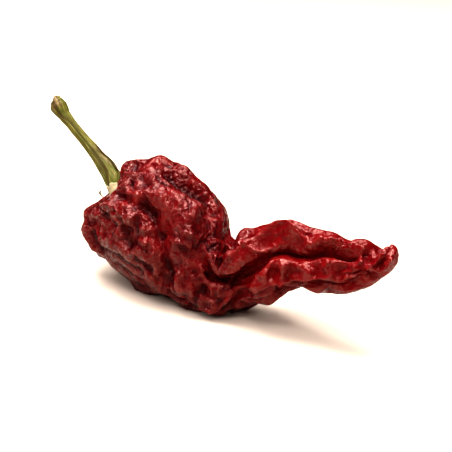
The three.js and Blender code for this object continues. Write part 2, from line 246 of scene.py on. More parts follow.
pod = {
    # each rib, mm: top (x, z), bottom (x, z), how far back (y), bulge to the front, bulge to the back
    "ribs": [
        ((-29.6, 41.4), (-44.6, 21.6), 7.2, 13.2, 14.2),
        ((-22.6, 44.2), (-41.8, 15.8), 6.4, 17.6, 18.0),
        ((-14.2, 42.8), (-36.4, 10.2), 5.2, 19.8, 20.2),
        ((-7.4, 37.8), (-29.6, 5.8), 3.8, 20.6, 21.0),
        ((-3.2, 33.6), (-22.8, 3.0), 2.2, 20.6, 17.2),
        ((0.0, 29.2), (-16.0, 1.0), 0.0, 18.8, 13.2),
        ((0.8, 26.0), (-9.8, -1.6), -2.2, 17.2, 9.8),
        ((1.4, 23.0), (-4.2, -2.2), -3.8, 14.6, 8.2),
        ((3.0, 22.0), (1.2, -2.8), -5.2, 12.8, 8.2),
        ((5.4, 25.4), (6.4, -1.4), -6.8, 12.0, 9.0),
        ((9.4, 27.4), (10.8, 2.0), -8.6, 11.2, 10.2),
        ((14.4, 29.2), (15.4, 4.2), -10.8, 10.8, 10.2),
        ((19.2, 30.0), (19.0, 8.6), -12.8, 9.4, 9.4),
        ((24.0, 28.8), (21.8, 11.2), -14.6, 8.6, 8.6),
        ((28.8, 28.2), (27.2, 10.2), -16.2, 8.2, 7.8),
        ((33.6, 26.4), (32.2, 10.6), -18.0, 7.8, 6.8),
        ((37.6, 26.6), (37.0, 13.4), -19.8, 6.8, 6.0),
        ((41.0, 25.4), (41.2, 16.6), -21.0, 5.6, 5.2),
        ((43.6, 27.0), (44.4, 19.6), -21.8, 3.8, 3.4),
    ],
    "stemSeat": (-33.7, 8.1, 33.8),     # middle of the shoulder, where the stem goes in
    "tip": (45.6, -22.3, 23.9),
    "slim": 0.955,                      # ribs drawn in a little, the folds stand proud of them
    "shoulder": [(1.6, 0.0), (1.4, 0.26), (-0.3, 0.60), (-1.0, 0.85)],      # mm sunk, share of the first rib
    "shoulderDraw": 1.5,                # how late they move over to the stem's seat
    "beforeTip": (0.65, 0.62),          # one more rib: how far on to the tip, share of the last rib
    "slant": (0.45, 0.146),             # per mm towards the tip: mm to the front, mm up
    "slantFrom": 4.3,                   # x where the slant leaves it in place
    "middle": (4.71, -0.01),            # puts the origin under the whole pepper
    # how a fold's height falls off, in its half widths
    "sharpReach": 2.2,
    "sharpness": 1.6,                   # higher is thinner
    "lipReach": (0.42, 1.7),            # on the far side, on the near side
    "fadeFrom": 3.5,                    # folds longer than this fade out at both ends
    "fadeOver": 2.2,
}

# kind, path of (percent along from the stem's seat, degrees around), half width mm, height mm
# around: 0 top, 90 front, 180 underneath, 270 back
# round = soft swell or hollow, sharp = crest or crease, lip = steep on the far side, gentle on the near one
folds = [
    # shoulder and the knobs round the stem
    ("round", [(9.5, 58), (9.5, 72), (10, 86)], 3.6, -2.7),
    ("round", [(8.4, 84), (8.8, 100), (9.2, 118)], 2.6, 1.8),
    ("round", [(12.2, 354), (13.6, 6)], 3.0, 1.9),
    ("round", [(15.5, 322), (16.8, 338), (17.2, 352), (16.6, 4)], 2.4, -2.0),
    ("round", [(10.5, 28), (12, 40)], 2.2, -2.1),
    ("round", [(14.5, 18), (16, 22)], 2.2, -1.5),
    ("sharp", [(15.2, 22), (15.8, 30), (17, 40)], 1.1, 0.8),
    ("sharp", [(15.4, 38), (17.2, 48), (19.4, 58)], 1.3, -2.0),
    ("round", [(18.6, 36), (20.2, 44)], 2.6, -1.5),
    ("sharp", [(18.4, 16), (20.2, 22), (21.4, 30), (22.6, 42)], 1.0, 0.9),
    ("sharp", [(18.8, 12), (21.2, 28), (23, 35), (25, 37), (28, 33), (32.5, 30), (36, 30),
               (39, 32)], 0.9, -1.3),
    ("sharp", [(24, 15), (28.5, 12), (33.5, 8), (38, 7), (42, 10)], 1.1, 0.9),
    ("round", [(19.4, 354), (20.6, 0)], 2.8, 1.4),
    ("round", [(26.3, 4)], 2.0, 0.9),
    ("round", [(22, 359)], 2.2, -0.5),
    ("sharp", [(20.5, 8), (22, 10), (24.5, 11)], 0.9, -1.1),
    ("round", [(16.5, 64), (19, 66)], 2.2, -2.2),
    ("round", [(17, 96), (19, 104)], 3.2, -2.0),
    ("sharp", [(11.5, 84), (14.5, 82), (18, 84)], 1.4, 1.5),
    ("sharp", [(20, 82), (22.8, 85), (25.5, 86)], 1.3, 1.7),
    ("sharp", [(27, 92), (29, 90), (31.5, 93)], 1.4, 1.5),
    ("round", [(24, 96), (26, 101)], 2.1, -1.8),
    ("sharp", [(13, 104), (14, 118), (18, 130), (22, 138)], 1.2, -1.0),
    ("round", [(13.5, 132), (18.5, 140)], 2.2, 1.4),
    ("round", [(17, 122), (24, 115), (31.5, 110)], 2.8, 0.8),
    ("round", [(20, 127), (26, 122), (31, 123), (36, 120)], 1.7, -0.6),
    ("round", [(24, 137), (30, 134), (35, 135), (40, 129)], 1.8, -0.5),
    ("sharp", [(18.2, 78), (19.8, 68)], 1.0, 1.1),
    ("sharp", [(23.6, 87), (22.8, 78), (21.8, 72)], 1.0, 1.3),
    ("sharp", [(25.8, 87), (28.6, 79)], 1.0, 1.4),
    ("sharp", [(28.8, 96), (31, 85)], 1.0, 1.4),
    ("sharp", [(31, 107), (34, 112), (38, 113)], 1.1, -1.2),
    # back ridge, the deep valley beside it and the broad swell
    ("sharp", [(24, 8), (28.5, 4), (35.5, 0), (41.5, 358), (44, 352)], 1.9, 1.0),
    ("round", [(21.6, 19), (24, 24), (27.5, 25), (31.5, 22), (36.7, 17), (41, 19), (44, 24)], 2.4, -2.1),
    ("sharp", [(37.5, 30), (41.5, 31), (45.5, 30)], 1.1, -1.1),
    ("round", [(32.5, 350)], 2.4, -0.6),
    ("round", [(36.5, 359), (41, 358)], 2.6, -0.9),
    ("round", [(45.5, 336), (47, 332)], 3.0, -0.7),
    ("round", [(27, 50), (31, 44), (35.5, 37)], 4.4, 1.9),
    ("sharp", [(25.4, 38), (28.6, 47), (31.5, 55)], 0.9, -0.7),
    ("sharp", [(30.5, 33), (34, 42), (36, 50)], 0.9, -0.7),
    # middle: pit, apron and the central valley
    ("round", [(23.8, 65), (26.8, 67)], 2.6, -2.6),
    ("round", [(29.5, 72), (33, 73)], 2.6, -1.6),
    ("round", [(37, 50), (40, 56)], 3.9, 1.5),
    ("sharp", [(36.5, 63), (41.5, 58), (46, 52)], 1.0, 0.9),
    ("sharp", [(37, 74), (41, 68), (45, 62)], 1.0, 0.9),
    ("round", [(28.5, 74), (33.5, 80), (38.3, 91), (42, 103), (45.5, 122)], 3.0, -2.3),
    ("round", [(28, 104), (33, 101)], 2.8, 1.3),
    ("round", [(43, 88), (45.5, 96), (47.2, 108), (48.4, 124)], 2.6, 2.5),
    ("round", [(37, 122), (41.5, 132)], 2.9, 1.2),
    # flap over the groove, then the upper fold running to the tip
    ("round", [(50.4, 65), (53, 68), (56, 72), (59, 78)], 1.4, -2.4),
    ("sharp", [(47.8, 49), (49.4, 53)], 1.0, 0.8),
    ("round", [(56, 78), (59, 85), (62, 83), (66, 74), (69.3, 64), (73, 66), (75.5, 73), (77.8, 71),
               (80.8, 54), (83.4, 45), (86.6, 45), (90, 40)], 2.1, -4.8),
    ("lip", [(47.5, 47), (49, 51), (51, 53), (53.5, 56), (56, 60), (59, 66), (61, 67), (62.5, 65),
             (64.5, 59), (67.5, 54)], 2.2, 2.6),
    ("sharp", [(57, 56), (61, 50), (64, 43), (66.5, 27), (68.7, 14), (71.7, 13), (73.9, 24),
               (75.8, 34)], 1.6, 2.2),
    ("sharp", [(49.4, 42), (50.6, 47), (52, 50)], 0.8, 0.9),
    ("sharp", [(52, 38), (54.6, 45), (57, 52)], 0.9, 0.9),
    ("sharp", [(56, 40), (58.8, 46), (60.4, 54)], 0.9, 0.8),
    ("round", [(54, 12), (56, 22), (52, 26)], 2.2, -2.2),
    ("round", [(58.5, 20), (61.5, 16), (64.5, 10)], 1.9, -2.2),
    ("sharp", [(67, 6), (69.5, 2), (72, 4), (75, 14), (77.5, 20)], 1.0, -1.4),
    ("round", [(68, 38), (71.5, 45), (74.5, 52)], 3.4, -1.8),
    ("sharp", [(47.5, 46), (49, 34), (51, 26)], 1.0, 1.2),
    ("sharp", [(62, 34), (65, 46), (69, 56)], 0.9, 0.7),
    ("round", [(60.5, 355), (67.5, 350), (74, 350), (80.5, 356)], 2.2, 0.3),
    ("round", [(57, 0), (59, 357)], 2.0, 0.9),
    ("round", [(76.4, 38), (78.2, 42), (80.4, 35), (82.8, 27), (86.6, 24)], 1.8, 1.6),
    ("sharp", [(75.6, 20), (76.6, 36), (77.8, 52)], 0.9, 1.0),
    ("sharp", [(78.4, 14), (79.3, 28), (80.2, 45)], 1.0, 0.9),
    ("sharp", [(81, 16), (81.6, 26), (82.2, 40)], 0.9, 1.0),
    ("sharp", [(82.8, 8), (83.4, 18), (84, 31)], 0.9, 0.8),
    ("sharp", [(84.8, 4), (85.7, 16), (86.6, 32)], 1.0, 0.9),
    ("round", [(83.8, 354), (84.5, 4)], 1.8, -0.9),
    # wrinkled foot under the flap
    ("sharp", [(51, 82), (52, 92), (52.4, 106), (52, 118)], 1.2, -1.2),
    ("sharp", [(54.8, 78), (54.2, 90), (53.6, 100)], 1.0, -1.4),
    ("sharp", [(55.8, 118), (57.6, 106), (60.5, 99)], 1.5, 1.8),
    ("round", [(58.5, 118), (61, 112)], 2.0, -1.5),
    ("sharp", [(48.6, 90), (49.6, 100), (50.4, 110)], 1.0, 1.2),
    ("sharp", [(52.6, 98), (54.4, 88), (57, 84)], 1.1, 1.5),
    ("sharp", [(57, 84), (58.4, 93), (58.8, 103)], 1.0, 1.4),
    ("sharp", [(50.8, 107), (53, 103), (55.4, 106)], 0.9, 1.4),
    ("sharp", [(50.4, 118), (53, 114), (55, 118)], 1.0, 1.5),
    ("round", [(53.8, 112), (54.6, 122)], 2.6, 1.4),
    ("sharp", [(65, 109), (67, 102), (70, 103), (74, 116)], 1.1, 1.7),
    ("sharp", [(62.5, 131), (66.7, 126), (70, 134), (73, 146)], 1.1, -1.6),
    ("round", [(66, 116), (69.5, 120)], 2.8, 1.2),
    # lower fold
    ("sharp", [(63, 108), (65.5, 95), (67, 85), (69.3, 75), (71, 74), (72.9, 77), (74.5, 82), (76.4, 87),
               (77.8, 84), (79.3, 74), (80.8, 65), (83.4, 56), (86.6, 58), (89, 60)], 1.8, 2.4),
    ("round", [(68.8, 90)], 1.5, 1.4),
    ("round", [(70.6, 90), (71.2, 97)], 1.6, -1.1),
    ("sharp", [(72.9, 76), (73.3, 92), (73.5, 110)], 1.0, 1.7),
    ("round", [(75.4, 94), (75.9, 102)], 1.7, -0.9),
    ("sharp", [(78.2, 84), (78.7, 94), (79, 105)], 0.9, 1.6),
    ("round", [(80, 84), (80.4, 96)], 1.6, -0.8),
    ("sharp", [(83.2, 58), (82.4, 72), (81.4, 91)], 0.9, 1.5),
    ("sharp", [(71, 112), (74.7, 112), (78.8, 107), (81.8, 97), (84.8, 86)], 1.0, 1.8),
    ("sharp", [(75, 122), (79.5, 119), (83.5, 112), (87, 118), (90, 124)], 1.0, -1.6),
    ("round", [(72, 130), (75, 130)], 1.9, -1.8),
    ("round", [(79, 130), (80.5, 134)], 2.0, 1.0),
    ("round", [(82.6, 132), (82.8, 142)], 1.5, -0.9),
    ("round", [(87.2, 134), (88.6, 134)], 1.8, 0.8),
    ("round", [(83, 158), (85.6, 138)], 2.4, -1.0),
    ("sharp", [(84, 122), (86.5, 127), (89.6, 130)], 0.8, 1.0),
    # crumpled hollow under the end of the tail
    ("round", [(86.2, 78), (88.4, 92), (90, 108)], 2.0, -2.2),
    ("sharp", [(85.4, 82), (87.6, 84), (89.6, 92)], 0.7, 1.1),
    ("sharp", [(86, 92), (88, 98), (90.6, 112)], 0.7, 1.2),
    ("sharp", [(88.4, 74), (89.2, 84)], 0.7, 0.9),
    # tip
    ("round", [(86.5, 2), (89, 6)], 2.2, 0.9),
    ("round", [(90.6, 32), (91.4, 46)], 2.4, -2.8),
    ("sharp", [(88.6, 52), (90.6, 62), (93, 54)], 0.9, 1.4),
    ("sharp", [(90.6, 92), (91.6, 80), (94.2, 46), (96.4, 10)], 0.9, 1.9),
    ("round", [(93.2, 96), (94.6, 78), (96, 52)], 1.2, -1.6),
    ("sharp", [(94.4, 110), (96, 92), (97.4, 70)], 0.8, 1.1),
    ("round", [(93.4, 350), (94, 8)], 1.5, -1.5),
    ("round", [(95.6, 345), (95.6, 30)], 1.8, -1.1),
    ("round", [(92.4, 112), (93, 124)], 1.2, -1.2),
    # resting side and back
    ("round", [(30, 200), (36, 205)], 5.0, 1.5),
    ("round", [(36, 168), (42, 172)], 5.0, 1.4),
    ("round", [(46, 214)], 5.5, 2.5),
    ("round", [(24, 158), (29, 164)], 3.6, -1.0),
    ("round", [(34.4, 166)], 2.2, 1.0),
    ("round", [(42, 160), (46, 158)], 3.2, -1.4),
    ("round", [(51.6, 170), (53.2, 160)], 3.0, -1.1),
    ("round", [(51, 146), (55, 140), (58, 146), (63, 156), (67, 160)], 4.2, -1.9),
    ("round", [(59, 176), (64, 176), (68, 172)], 4.6, -2.2),
    ("round", [(68.6, 150), (70, 151)], 2.6, 0.8),
    ("round", [(21.5, 300), (31.5, 310), (38.5, 318)], 3.4, -2.6),
    ("round", [(18.5, 270), (28.5, 276), (40, 290)], 5.1, 2.1),
    ("round", [(24, 248), (35.5, 250), (44, 262)], 2.9, -2.6),
    ("round", [(54, 300), (64, 305), (74, 300), (82.5, 296)], 2.4, -3.4),
    ("round", [(57, 262), (68.5, 260), (78.5, 258)], 2.7, 1.4),
    ("round", [(60, 220), (70, 225), (78.5, 222)], 2.2, -2.2),
    ("round", [(12, 316), (13, 326)], 3.0, 0.8),
    ("round", [(13, 290), (14, 300)], 2.6, -2.1),
    ("round", [(13, 240), (15.5, 250)], 3.4, 1.7),
]

# folds pushed sideways until they hang over: path, half width mm, mm towards the front
overhangs = [
    ([(47, 42), (49, 48), (52, 52), (56, 57), (60, 60), (63, 56), (66, 50), (69, 46)], 2.6, 2.2),
    ([(66, 46), (70, 50), (75, 56), (80, 48), (85, 38)], 2.8, 1.3),
    ([(72, 104), (76, 108), (80, 104)], 1.6, 0.9),
    ([(43, 84), (45, 98), (47, 116)], 2.4, -0.8),
    ([(13, 76), (14, 90)], 2.0, 0.9),
]


def podRings(columns):                  # the ribs as rings of points, and how far along each one lies
    turn = np.linspace(0, 2 * np.pi, columns, endpoint=False)
    ct, st = np.cos(turn), np.sin(turn)
    tops, lows, backs, fronts, rears = zip(*pod["ribs"])
    top = np.array([(x, y, z) for (x, z), y in zip(tops, backs)])
    low = np.array([(x, y, z) for (x, z), y in zip(lows, backs)])
    mid = (top + low) / 2
    up = (top - low) / 2 * pod["slim"]
    out = unit(np.cross(unit(rowSteps(mid)), up))

    def ring(i, centre, size=1.0):
        side = np.where(st > 0, fronts[i], rears[i]) * st
        return centre + (ct[:, None] * up[i] + side[:, None] * out[i]) * size

    seat, tip = np.array(pod["stemSeat"]), np.array(pod["tip"])
    inward = unit(np.cross(up[0], out[0]))
    rings = []
    for sunk, size in pod["shoulder"]:
        nearSeat = (1 - size) ** pod["shoulderDraw"]
        rings.append(ring(0, seat * nearSeat + mid[0] * (1 - nearSeat) + inward * sunk, size))
    rings += [ring(i, mid[i]) for i in range(len(mid))]
    onward, size = pod["beforeTip"]
    rings.append(ring(-1, mid[-1] * (1 - onward) + tip * onward, size))
    rings.append(np.repeat(tip[None], columns, 0))
    rings = np.array(rings)
    steps = np.linalg.norm(np.diff(rings, axis=0), axis=2).mean(1)
    return rings, np.concatenate([[0], np.cumsum(steps)])


def foldHeight(fold, at, around, girth):        # mm at every point of the grid
    kind, path, width, height = fold
    path = [(percent * at[-1] / 100, b) for percent, b in path]
    if len(path) == 1:
        path = [path[0], (path[0][0] + 0.01, path[0][1])]
    best = np.full(girth.shape, 1e9)
    side, done = np.zeros(girth.shape), np.zeros(girth.shape)
    spans = []
    for (a0, b0), (a1, b1) in zip(path[:-1], path[1:]):
        k = np.argmin(abs(at - (a0 + a1) / 2))
        spans.append(np.hypot(a1 - a0, np.radians(turnBetween(b0, b1)) * girth[k].mean()))
    total, run = sum(spans), 0.0
    for span, (a0, b0), (a1, b1) in zip(spans, path[:-1], path[1:]):
        x = at[:, None] - a0 + girth * 0
        y = np.radians(turnBetween(b0, around[None, :])) * girth
        dx, dy = a1 - a0, np.radians(turnBetween(b0, b1)) * girth
        u = np.clip((x * dx + y * dy) / np.maximum(dx * dx + dy * dy, 1e-9), 0, 1)
        far = np.hypot(x - u * dx, y - u * dy)
        near = far < best
        best = np.where(near, far, best)
        side = np.where(near, np.sign(dx * y - dy * x), side)
        done = np.where(near, run + u * span, done)
        run += span
    if kind == "sharp":
        f = np.clip(1 - best / (pod["sharpReach"] * width), 0, 1) ** pod["sharpness"]
    elif kind == "lip":
        f = np.exp(-(best / (np.where(side > 0, *pod["lipReach"]) * width)) ** 2)
    else:
        f = np.exp(-(best / width) ** 2)
    if total > pod["fadeFrom"] * width:
        f = f * ease(np.minimum(done, total - done) / (pod["fadeOver"] * width))
    return f * height


def foldedPod(rows, columns):           # the pod with its folds, before its skin wrinkles
    rings, along = podRings(columns)
    at = np.linspace(0, along[-1], rows)
    around = np.linspace(0, 360, columns, endpoint=False)
    p = throughRings(along, rings, at)
    girth = np.maximum(np.linalg.norm(p - p.mean(1, keepdims=True), axis=2), 1.0)
    rise = sum(foldHeight(fold, at, around, girth) for fold in folds)
    p = p + outward(p) * rise[..., None]
    shove = sum(foldHeight(("round", *overhang), at, around, girth) for overhang in overhangs)
    p = p + unit(np.roll(p, -1, 1) - np.roll(p, 1, 1)) * shove[..., None]
    away = p[..., 0] - pod["slantFrom"]
    forward, upward = pod["slant"]
    p[..., 0] += pod["middle"][0]
    p[..., 1] += pod["middle"][1] - forward * away
    p[..., 2] += upward * away
    return p, at, around, girth


wrinkles = {
    "seed": 11,
    # grid rows, columns, steps, how much the skin outgrows the flesh, stiffness, pull back to the flesh
    "passes": [
        (110, 100, 120, 0.05, 0.30, 0.020),
        (220, 200, 80, 0.06, 0.26, 0.020),
        (332, 290, 40, 0.07, 0.16, 0.030),
    ],
    "spring": 0.2,                      # how hard the skin works to reach its length at each step
    "crossSpring": 0.7,                 # share of that along the diagonals
    "drag": 0.8,                        # share of its speed that it keeps
    # crumples drawn first: size mm, height mm on the wide part, height mm on the tail; minus for crests
    "crumples": [(8.5, 0.22, 0.16), (5.0, -0.12, -0.08), (3.2, 0.11, 0.08), (2.2, -0.13, -0.11)],
    "facets": [(4.2, 0.40, 0.27), (2.2, 0.28, 0.19)],
    "wander": (5.0, 1.2),               # their edges bend: size mm, by mm
    # where they are stronger or weaker: path of (percent along, degrees around), half width mm, share
    "busy": [
        ([(12, 80), (18, 84), (24, 80), (30, 86)], 6.0, 0.9),
        ([(14, 120), (24, 124), (34, 124), (42, 122)], 6.0, -0.6),
        ([(18, 138), (28, 144), (40, 148)], 6.0, -0.7),
        ([(26, 46), (35, 38)], 4.5, -0.3),
        ([(36, 56), (42, 56)], 4.5, -0.4),
        ([(18.5, 34), (21, 44)], 3.4, -0.6),
        ([(24, 22), (32, 20), (40, 18)], 3.2, -0.7),
        ([(46, 96), (53, 90), (58, 104), (68, 116)], 7.0, 1.8),
        ([(47, 126), (54, 122), (60, 126)], 5.0, 0.7),
        ([(48, 50), (54, 48), (60, 58)], 3.5, 0.1),
        ([(63, 30), (68, 30), (76, 40)], 5.0, -0.6),
        ([(84, 96), (89, 104)], 4.0, 0.8),
        ([(92, 60), (96, 60)], 3.0, 0.5),
    ],
    "tail": (54, 66),                   # percent along, where the folds turn long and smooth
    "way": (0.78, -0.57, -0.10),        # along the pod, the crumples are drawn out this way
    "stretch": (0.70, 0.50),            # on the wide part, on the tail
    "tailCalm": 0.40,                   # how much less the tail wrinkles
    "seatCalm": (2.0, 8.0),             # mm from the stem's seat: no wrinkles up to here, full over this far
    "tipCalm": 5.0,                     # mm from the tip
}


def regrid(x, rows, columns):           # the same surface on a finer grid
    u = np.linspace(0, x.shape[0] - 1, rows)
    i = np.clip(u.astype(int), 0, x.shape[0] - 2)
    y = x[i] + (x[i + 1] - x[i]) * (u - i)[:, None, None]
    v = np.arange(columns) * x.shape[1] / columns
    j = v.astype(int)
    return y[:, j] + (y[:, (j + 1) % x.shape[1]] - y[:, j]) * (v - j)[None, :, None]


def crumple(p, at, tail):               # sharp creases and crests drawn out along the pod, mm
    seed = wrinkles["seed"]
    way = unit(np.array(wrinkles["way"]))
    off = p - p.mean(1, keepdims=True)
    run = (off * way).sum(2, keepdims=True)
    onBody, onTail = wrinkles["stretch"]
    stretch = onBody + (onTail - onBody) * tail
    length = np.concatenate([[0], np.cumsum(np.diff(at) * stretch[1:])])
    place = off + way * (length[:, None, None] + run * (stretch[:, None, None] - 1))
    size, bend = wrinkles["wander"]
    place = place + np.stack([clouds(place / size, seed + k) for k in (21, 22, 23)], -1) * bend
    rise = 0
    for k, (size, onBody, onTail) in enumerate(wrinkles["crumples"]):
        height = onBody + (onTail - onBody) * tail[:, None]
        rise = rise + (np.abs(clouds(place / size, seed + k)) * 3 - 1) * height     # a crease where it is 0
    for k, (size, onBody, onTail) in enumerate(wrinkles["facets"]):
        height = onBody + (onTail - onBody) * tail[:, None]
        rise = rise + creased(place / size, seed + 9 + k) * height
    return rise


def springs(flesh, grown):              # how long the skin wants to be between neighbouring points
    rows = len(flesh)
    cross = wrinkles["crossSpring"]
    found = []
    for down, over, firm in ((1, 0, 1.0), (0, 1, 1.0), (1, 1, cross), (1, -1, cross)):
        span = np.linalg.norm(np.roll(flesh, -over, 1)[down:] - flesh[:rows - down], axis=2)
        found.append((down, over, firm * wrinkles["spring"], span * (1 + grown[:rows - down])[:, None]))
    return found


def buckle(skin, flesh, grown, loose, steps, stiff, pull):     # the skin, too long for the flesh, folds up
    rows = len(skin)
    rest = skin - flesh
    speed = np.zeros_like(skin)
    pulls = springs(flesh, grown)
    for _ in range(steps):
        push = (flesh + rest - skin) * pull - stiff * spread(spread(skin - flesh - rest))
        for down, over, firm, want in pulls:
            d = np.roll(skin, -over, 1)[down:] - skin[:rows - down]
            long = np.sqrt((d * d).sum(2))
            pullIn = (firm * (long - want) / np.maximum(long, 1e-6))[..., None] * d
            push[:rows - down] += pullIn
            push[down:] -= np.roll(pullIn, over, 1)
        speed = speed * wrinkles["drag"] + push * loose
        skin = skin + speed
    return skin


def growSkin():                         # coarse grid first, each finer one starts from it
    skin = flesh = lift = None
    tailStarts, tailWhole = wrinkles["tail"]
    still, rising = wrinkles["seatCalm"]
    for rows, columns, steps, growth, stiff, pull in wrinkles["passes"]:
        newFlesh, at, around, girth = foldedPod(rows, columns)
        tail = ease((at / at[-1] * 100 - tailStarts) / (tailWhole - tailStarts))
        ends = np.clip(np.minimum((at - still) / rising, (at[-1] - at) / wrinkles["tipCalm"]), 0, 1)
        grown = growth * (1 - wrinkles["tailCalm"] * tail) * ends
        busy = 1 + sum(foldHeight(("round", *spot), at, around, girth) for spot in wrinkles["busy"])
        newLift = crumple(newFlesh, at, tail) * ends[:, None] * busy
        if skin is None:
            skin = newFlesh + outward(newFlesh) * newLift[..., None]
        else:
            oldLift = regrid(lift[..., None], rows, columns)[..., 0]
            skin = newFlesh + regrid(skin - flesh, rows, columns)
            skin = skin + outward(newFlesh) * (newLift - oldLift)[..., None]
        lift, flesh = newLift, newFlesh
        skin = buckle(skin, flesh, grown, ends[:, None, None] > 0, steps, stiff, pull)
    return skin, at, tail


skinLooks = {
    "deep": (0.024, 0.0007, 0.0016, 1),     # painted shade: the darker red laid into the creases and hollows
    "red": (0.064, 0.0012, 0.0026, 1),
    "bright": (0.124, 0.0024, 0.0034, 1),   # where the skin is thin
    "crestBloomAndSheen": (0.17, 0.026, 0.020, 1),       # dry bloom on the crests, partly a painted sheen where they catch the light
    # how crests and hollows are told: softened this often, mm for the whole effect
    "crests": (4, 0.09),
    "hollows": (16, 0.35),
    # sizes, per metre
    "patches": 120.0,
    "grain": 700.0,
    "specks": 1500.0,
    "facets": 430.0,
    "lines": 420.0,                     # fine sharp creases
    "wander": (260.0, 0.004),           # the facets' edges bend: size, by m
    "lineHeight": 0.6,                  # beside the facets'
    "speckHeight": 0.06,
    "bumpHeight": 0.00048,              # m
    "tailBump": 0.6,                    # share of it left on the smooth tail
    "roughness": 0.115,
    "patchRoughness": (-0.08, 0.12),    # less and more of it, from patch to patch
    "gloss": 1.48,                      # index of refraction
    "shine": (0.16, 0.44),              # in the hollows, on the swells
    "shineTint": (1.0, 0.60, 0.51, 1),
    "edgeShine": (0.55, 0.85, 0.05),    # turned away from, wholly turned away, share of the shine left there
    "glow": 0.20,                       # light let through the thin skin
    "glowDepth": 0.0012,
    "glowTint": (1.0, 0.2, 0.1),
}


def skinMarks(skin, tail):              # crests, hollows and the smooth tail, for the colour: painted shade in the hollows, bloom and painted sheen on the crests
    n = outward(skin)
    marks = {"tail": np.repeat(tail[:, None], skin.shape[1], 1)}
    for name, (times, whole) in (("crest", skinLooks["crests"]), ("depth", skinLooks["hollows"])):
        marks[name] = np.clip(((skin - softened(skin, times)) * n).sum(2) / whole, -1, 1)
    return {name: values[1:-1] for name, values in marks.items()}


def skinMaterial():
    looks = skinLooks
    s = Shader("driedSkin")
    where = s.place()
    crest, depth, tail = s.mark("crest"), s.mark("depth"), s.mark("tail")
    patches = s.noise(where, looks["patches"], 5.0, 0.6)
    grain = s.noise(where, looks["grain"], 6.0, 0.65)
    # painted shade: the hollows are coloured the darker red
    colour = s.mix(s.ramp(depth, -1.0, 0.2), looks["deep"], looks["red"])
    colour = s.mix(s.ramp(patches, 0.45, 0.72, 0.0, 0.7), colour, looks["bright"])
    colour = s.mix(s.ramp(tail, 0.0, 1.0, 0.0, 0.5), colour, looks["bright"])
    # dry bloom on the crests, partly a painted sheen where the crests catch the light
    bloomAndSheen = s.math("MULTIPLY", s.ramp(crest, 0.25, 1.0), s.ramp(grain, 0.35, 0.7, 0.0, 0.35))
    colour = s.mix(bloomAndSheen, colour, looks["crestBloomAndSheen"])
    rough = s.math("ADD", s.ramp(patches, 0.3, 0.7, *looks["patchRoughness"]), looks["roughness"])

    # small relief: flat facets with bent edges, sharp fine creases and specks
    wanderSize, wanderBy = looks["wander"]
    wander = s.add("ShaderNodeTexNoise", {"Vector": where, "Scale": wanderSize, "Detail": 3.0}).outputs[1]
    bent = s.vector("ADD", where, s.vector("MULTIPLY", wander, (wanderBy, wanderBy, wanderBy)))
    facets = s.add("ShaderNodeTexVoronoi", {"Vector": bent, "Scale": looks["facets"], "Detail": 0.6,
                                            "Roughness": 0.5, "Lacunarity": 2.2},
                   feature="F1", distance="MANHATTAN").outputs["Distance"]
    lines = s.noise(bent, looks["lines"], 4.0, 0.7, noise_type="RIDGED_MULTIFRACTAL", normalize=True)
    specks = s.noise(where, looks["specks"], 4.0, 0.6)
    fine = s.math("ADD", s.math("MULTIPLY", lines, looks["lineHeight"]),
                  s.math("MULTIPLY", specks, looks["speckHeight"]))
    height = s.math("ADD", s.math("MULTIPLY", facets, s.ramp(tail, 0.0, 1.0, 1.0, looks["tailBump"])), fine)
    bump = s.bump(height, 1.0, looks["bumpHeight"])

    turnedAway = s.add("ShaderNodeLayerWeight", {"Blend": 0.5, "Normal": bump}).outputs["Facing"]
    edgeFrom, edgeTo, edgeLeft = looks["edgeShine"]
    shine = s.math("MULTIPLY", s.ramp(depth, -0.7, 0.7, *looks["shine"]),
                   s.ramp(turnedAway, edgeFrom, edgeTo, 1.0, edgeLeft))
    s.set(Base_Color=colour, Roughness=rough, Normal=bump, IOR=looks["gloss"])
    s.set(Specular_IOR_Level=shine, Specular_Tint=looks["shineTint"])
    s.set(Subsurface_Weight=looks["glow"], Subsurface_Scale=looks["glowDepth"])
    s.set(Subsurface_Radius=looks["glowTint"])
    return s.mat


print("pod: growing the skin")
skin, at, tail = growSkin()
skin[..., 2] = np.maximum(skin[..., 2], 0.0)    # flat where it lies on the surface
podPiece = closedMesh("podSkin", skin[1:-1], skin[0, 0], skin[-1, 0], skinMarks(skin, tail))
finished(podPiece, skinMaterial(), "pod")


# calyx: a dry cap drawn over the shoulder hollow, with the seat of the stem in its middle

calyx = {
    "facing": (-0.832, 0.162, 0.528),   # out of the pod
    "reach": 5.5,                       # mm from the middle to the edge
    "ragged": [(5, 0.5, 20.0), (11, 0.28, 75.0), (23, 0.14, 130.0)],    # its edge: waves, mm, degrees turned
    "thickness": 0.55,
    "thinEdge": 0.45,                   # share of the thickness lost at the edge
    "gap": 0.22,                        # mm over the pod
    "seatHeight": 2.0,                  # the seat of the stem, mm
    "seatReach": 3.7,
    "seatSlope": 1.8,
    "ribs": 15,
    "ribHeight": 0.16,
    "columns": 150,
    "steps": 22,
}


